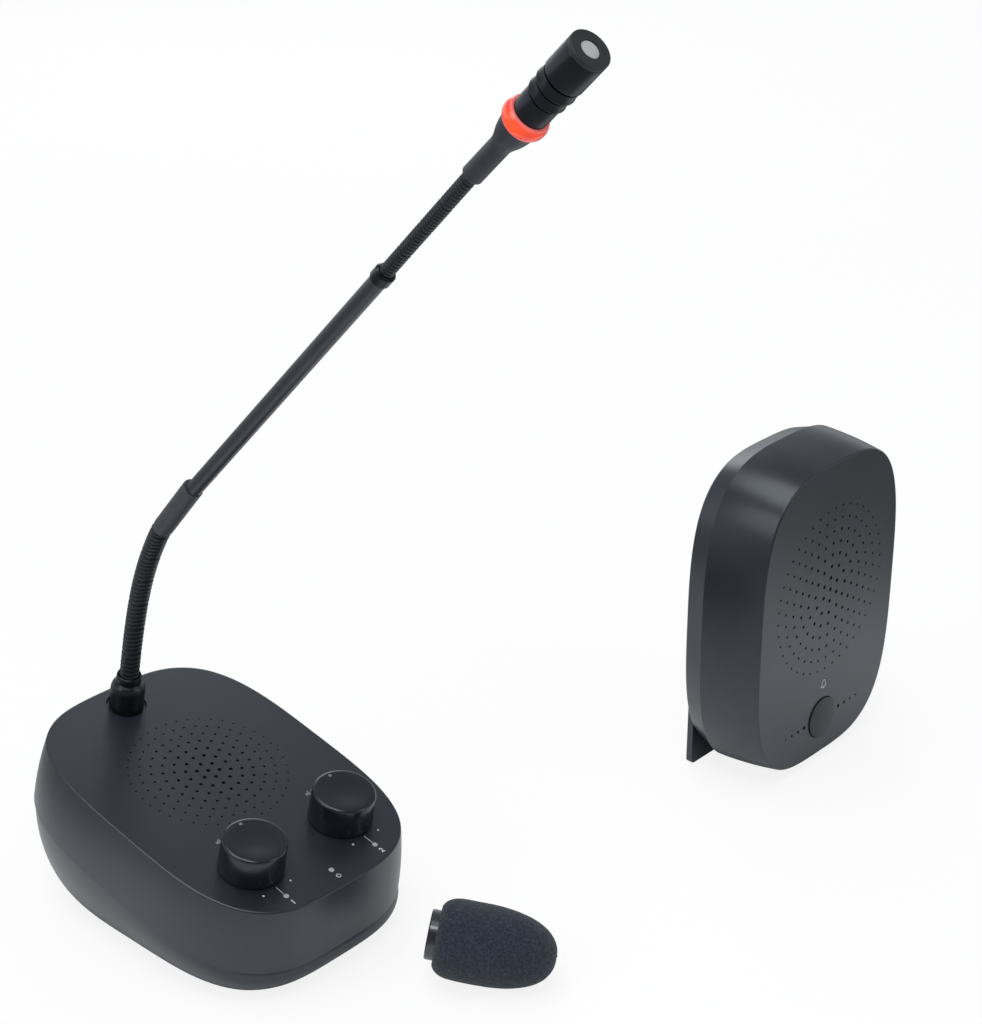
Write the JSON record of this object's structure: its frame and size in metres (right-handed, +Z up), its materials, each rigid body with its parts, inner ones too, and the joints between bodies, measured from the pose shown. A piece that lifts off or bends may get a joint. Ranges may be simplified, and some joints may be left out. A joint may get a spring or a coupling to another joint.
{
  "type": "counter window intercom",
  "caption": "Counter window intercom: a sloping desk station with a gooseneck microphone and volume knobs, an outer speaker station with a call button, and a loose foam windscreen.",
  "frame": {"origin": "middle of the underside of the desk station's rubber pad, on the counter", "axes": "+Z up, -Y towards the clerk, +Y towards the desk station's rear with its sockets, +X to the clerk's right"},
  "size_m": [0.393, 0.2876, 0.4089],
  "materials": {
    "housing": "fine matt spark texture",
    "pad": "matt",
    "screw": "blackened",
    "basket": "satin",
    "cone": "matt pressed paper",
    "magnet": "zinc grey",
    "board": "satin solder mask",
    "pot": "plated",
    "shaft": "turned",
    "knob": "satin side, bright rim",
    "lens": "clear",
    "socket": "satin",
    "rocker": "polished",
    "stud": "blackened",
    "boot": "satin",
    "flex": "satin black",
    "sleeve": "satin",
    "stem": "satin black",
    "ring": "translucent, lit",
    "barrel": "satin black",
    "capsule": "felt",
    "button": "fine matt",
    "bracket": "matt black",
    "foam": "open-cell foam",
    "collar": "polished"
  },
  "bodies": {
    "desk": {"desk_top_shell": "housing", "desk_bottom_cover": "housing", "desk_base_pad": "pad", "desk_cover_screws": "screw", "desk_speaker_frame": "basket", "desk_speaker_cone": "cone", "desk_speaker_magnet": "magnet", "desk_control_board": "board", "desk_main_board": "board", "desk_board_screws": "screw", "indicator_lenses": "lens", "volume_pot_left": "pot", "volume_pot_right": "pot", "power_inlet": "socket", "desk_link_socket": "socket", "power_switch_frame": "socket", "gooseneck_stud": "stud", "gooseneck_boot": "boot", "gooseneck_nut": "stud"},
    "knob_left": {"volume_shaft_left": "shaft", "volume_knob_left": "knob"},
    "knob_right": {"volume_shaft_right": "shaft", "volume_knob_right": "knob"},
    "power_rocker": {"power_rocker": "rocker"},
    "lower_link_1": {"lower_flex_link_1": "flex"},
    "lower_link_2": {"lower_flex_link_2": "flex"},
    "lower_link_3": {"lower_flex_link_3": "flex"},
    "lower_link_4": {"lower_flex_link_4": "flex"},
    "lower_link_5": {"lower_flex_link_5": "flex"},
    "lower_link_6": {"lower_flex_link_6": "flex"},
    "stem": {"elbow_sleeve": "sleeve", "stem_tube": "stem", "stem_collar": "barrel"},
    "upper_link_1": {"upper_flex_link_1": "flex"},
    "upper_link_2": {"upper_flex_link_2": "flex"},
    "upper_link_3": {"upper_flex_link_3": "flex"},
    "upper_link_4": {"upper_flex_link_4": "flex"},
    "microphone": {"mic_neck": "barrel", "light_ring": "ring", "ring_light_board": "board", "mic_barrel": "barrel", "mic_end_ring": "collar", "mic_capsule": "capsule"},
    "outer_station": {"outer_front_shell": "housing", "outer_rear_cover": "housing", "outer_wall_bracket": "bracket", "outer_cover_screws": "screw", "outer_speaker_frame": "basket", "outer_speaker_cone": "cone", "outer_speaker_magnet": "magnet", "outer_main_board": "board", "outer_board_screws": "screw", "call_switch_body": "socket", "outer_microphone": "shaft", "outer_link_socket": "socket"},
    "call_button": {"call_button": "button", "call_switch_stem": "rocker"},
    "windscreen": {"windscreen_foam": "foam", "windscreen_collar": "collar"}
  },
  "joints": [
    {"name": "left_volume_turn", "type": "hinge", "parent": "desk", "child": "knob_left", "pos_m": [-0.0253, -0.04862, 0.05145], "axis": [0, -0.225, 0.9744], "range_deg": [-150, 150]},
    {"name": "right_volume_turn", "type": "hinge", "parent": "desk", "child": "knob_right", "pos_m": [0.0253, -0.04862, 0.05145], "axis": [0, -0.225, 0.9744], "range_deg": [-150, 150]},
    {"name": "power_switch_rock", "type": "hinge", "parent": "desk", "child": "power_rocker", "pos_m": [0, 0.07789, 0.03387], "axis": [-1, 0, 0], "range_deg": [0, 10]},
    {"name": "gooseneck_lower_bend", "type": "hinge", "parent": "desk", "child": "lower_link_1", "pos_m": [0, 0.05504, 0.09191], "axis": [1, 0, 0], "range_deg": [-6, 10]},
    {"name": "lower_bend_2", "type": "hinge", "parent": "lower_link_1", "child": "lower_link_2", "pos_m": [0, 0.05191, 0.10545], "axis": [1, 0, 0], "range_deg": [-6, 10]},
    {"name": "gooseneck_lower_sway", "type": "hinge", "parent": "lower_link_2", "child": "lower_link_3", "pos_m": [0, 0.04843, 0.11891], "axis": [0, 0.9588, 0.284], "range_deg": [-8, 8]},
    {"name": "lower_bend_4", "type": "hinge", "parent": "lower_link_3", "child": "lower_link_4", "pos_m": [0, 0.04448, 0.13223], "axis": [1, 0, 0], "range_deg": [-6, 10]},
    {"name": "lower_bend_5", "type": "hinge", "parent": "lower_link_4", "child": "lower_link_5", "pos_m": [0, 0.03973, 0.1453], "axis": [1, 0, 0], "range_deg": [-6, 10]},
    {"name": "lower_sway_6", "type": "hinge", "parent": "lower_link_5", "child": "lower_link_6", "pos_m": [0, 0.03385, 0.1579], "axis": [0, 0.866, 0.5], "range_deg": [-8, 8]},
    {"name": "stem_bend", "type": "hinge", "parent": "lower_link_6", "child": "stem", "pos_m": [0, 0.0269, 0.16993], "axis": [1, 0, 0], "range_deg": [-2.4, 4]},
    {"name": "gooseneck_upper_bend", "type": "hinge", "parent": "stem", "child": "upper_link_1", "pos_m": [0, -0.1079, 0.31191], "axis": [1, 0, 0], "range_deg": [-9, 9]},
    {"name": "upper_bend_2", "type": "hinge", "parent": "upper_link_1", "child": "upper_link_2", "pos_m": [0, -0.1177, 0.32211], "axis": [1, 0, 0], "range_deg": [-9, 9]},
    {"name": "gooseneck_upper_sway", "type": "hinge", "parent": "upper_link_2", "child": "upper_link_3", "pos_m": [0, -0.1275, 0.33232], "axis": [0, 0.7212, 0.6928], "range_deg": [-12, 12]},
    {"name": "upper_bend_4", "type": "hinge", "parent": "upper_link_3", "child": "upper_link_4", "pos_m": [0, -0.13731, 0.34252], "axis": [1, 0, 0], "range_deg": [-9, 9]},
    {"name": "microphone_bend", "type": "hinge", "parent": "upper_link_4", "child": "microphone", "pos_m": [0, -0.14711, 0.35272], "axis": [1, 0, 0], "range_deg": [-9, 9]},
    {"name": "outer_station_lift", "type": "slide", "parent": "desk", "child": "outer_station", "axis": [0, 0, 1], "range_m": [0, 0.1]},
    {"name": "call_button_press", "type": "slide", "parent": "outer_station", "child": "call_button", "axis": [0, 1, 0], "range_m": [0, 0.001], "stiffness_N_per_m": 600, "springref_m": -0.0015},
    {"name": "windscreen_lift", "type": "slide", "parent": "desk", "child": "windscreen", "axis": [0, 0, 1], "range_m": [0, 0.05]}
  ],
  "couplings": [
    {"joint": "lower_bend_2", "follows": "gooseneck_lower_bend", "ratio": 1},
    {"joint": "lower_bend_4", "follows": "gooseneck_lower_bend", "ratio": 1},
    {"joint": "lower_bend_5", "follows": "gooseneck_lower_bend", "ratio": 1},
    {"joint": "stem_bend", "follows": "gooseneck_lower_bend", "ratio": 0.4},
    {"joint": "lower_sway_6", "follows": "gooseneck_lower_sway", "ratio": 1},
    {"joint": "upper_bend_2", "follows": "gooseneck_upper_bend", "ratio": 1},
    {"joint": "upper_bend_4", "follows": "gooseneck_upper_bend", "ratio": 1},
    {"joint": "microphone_bend", "follows": "gooseneck_upper_bend", "ratio": 1}
  ]
}
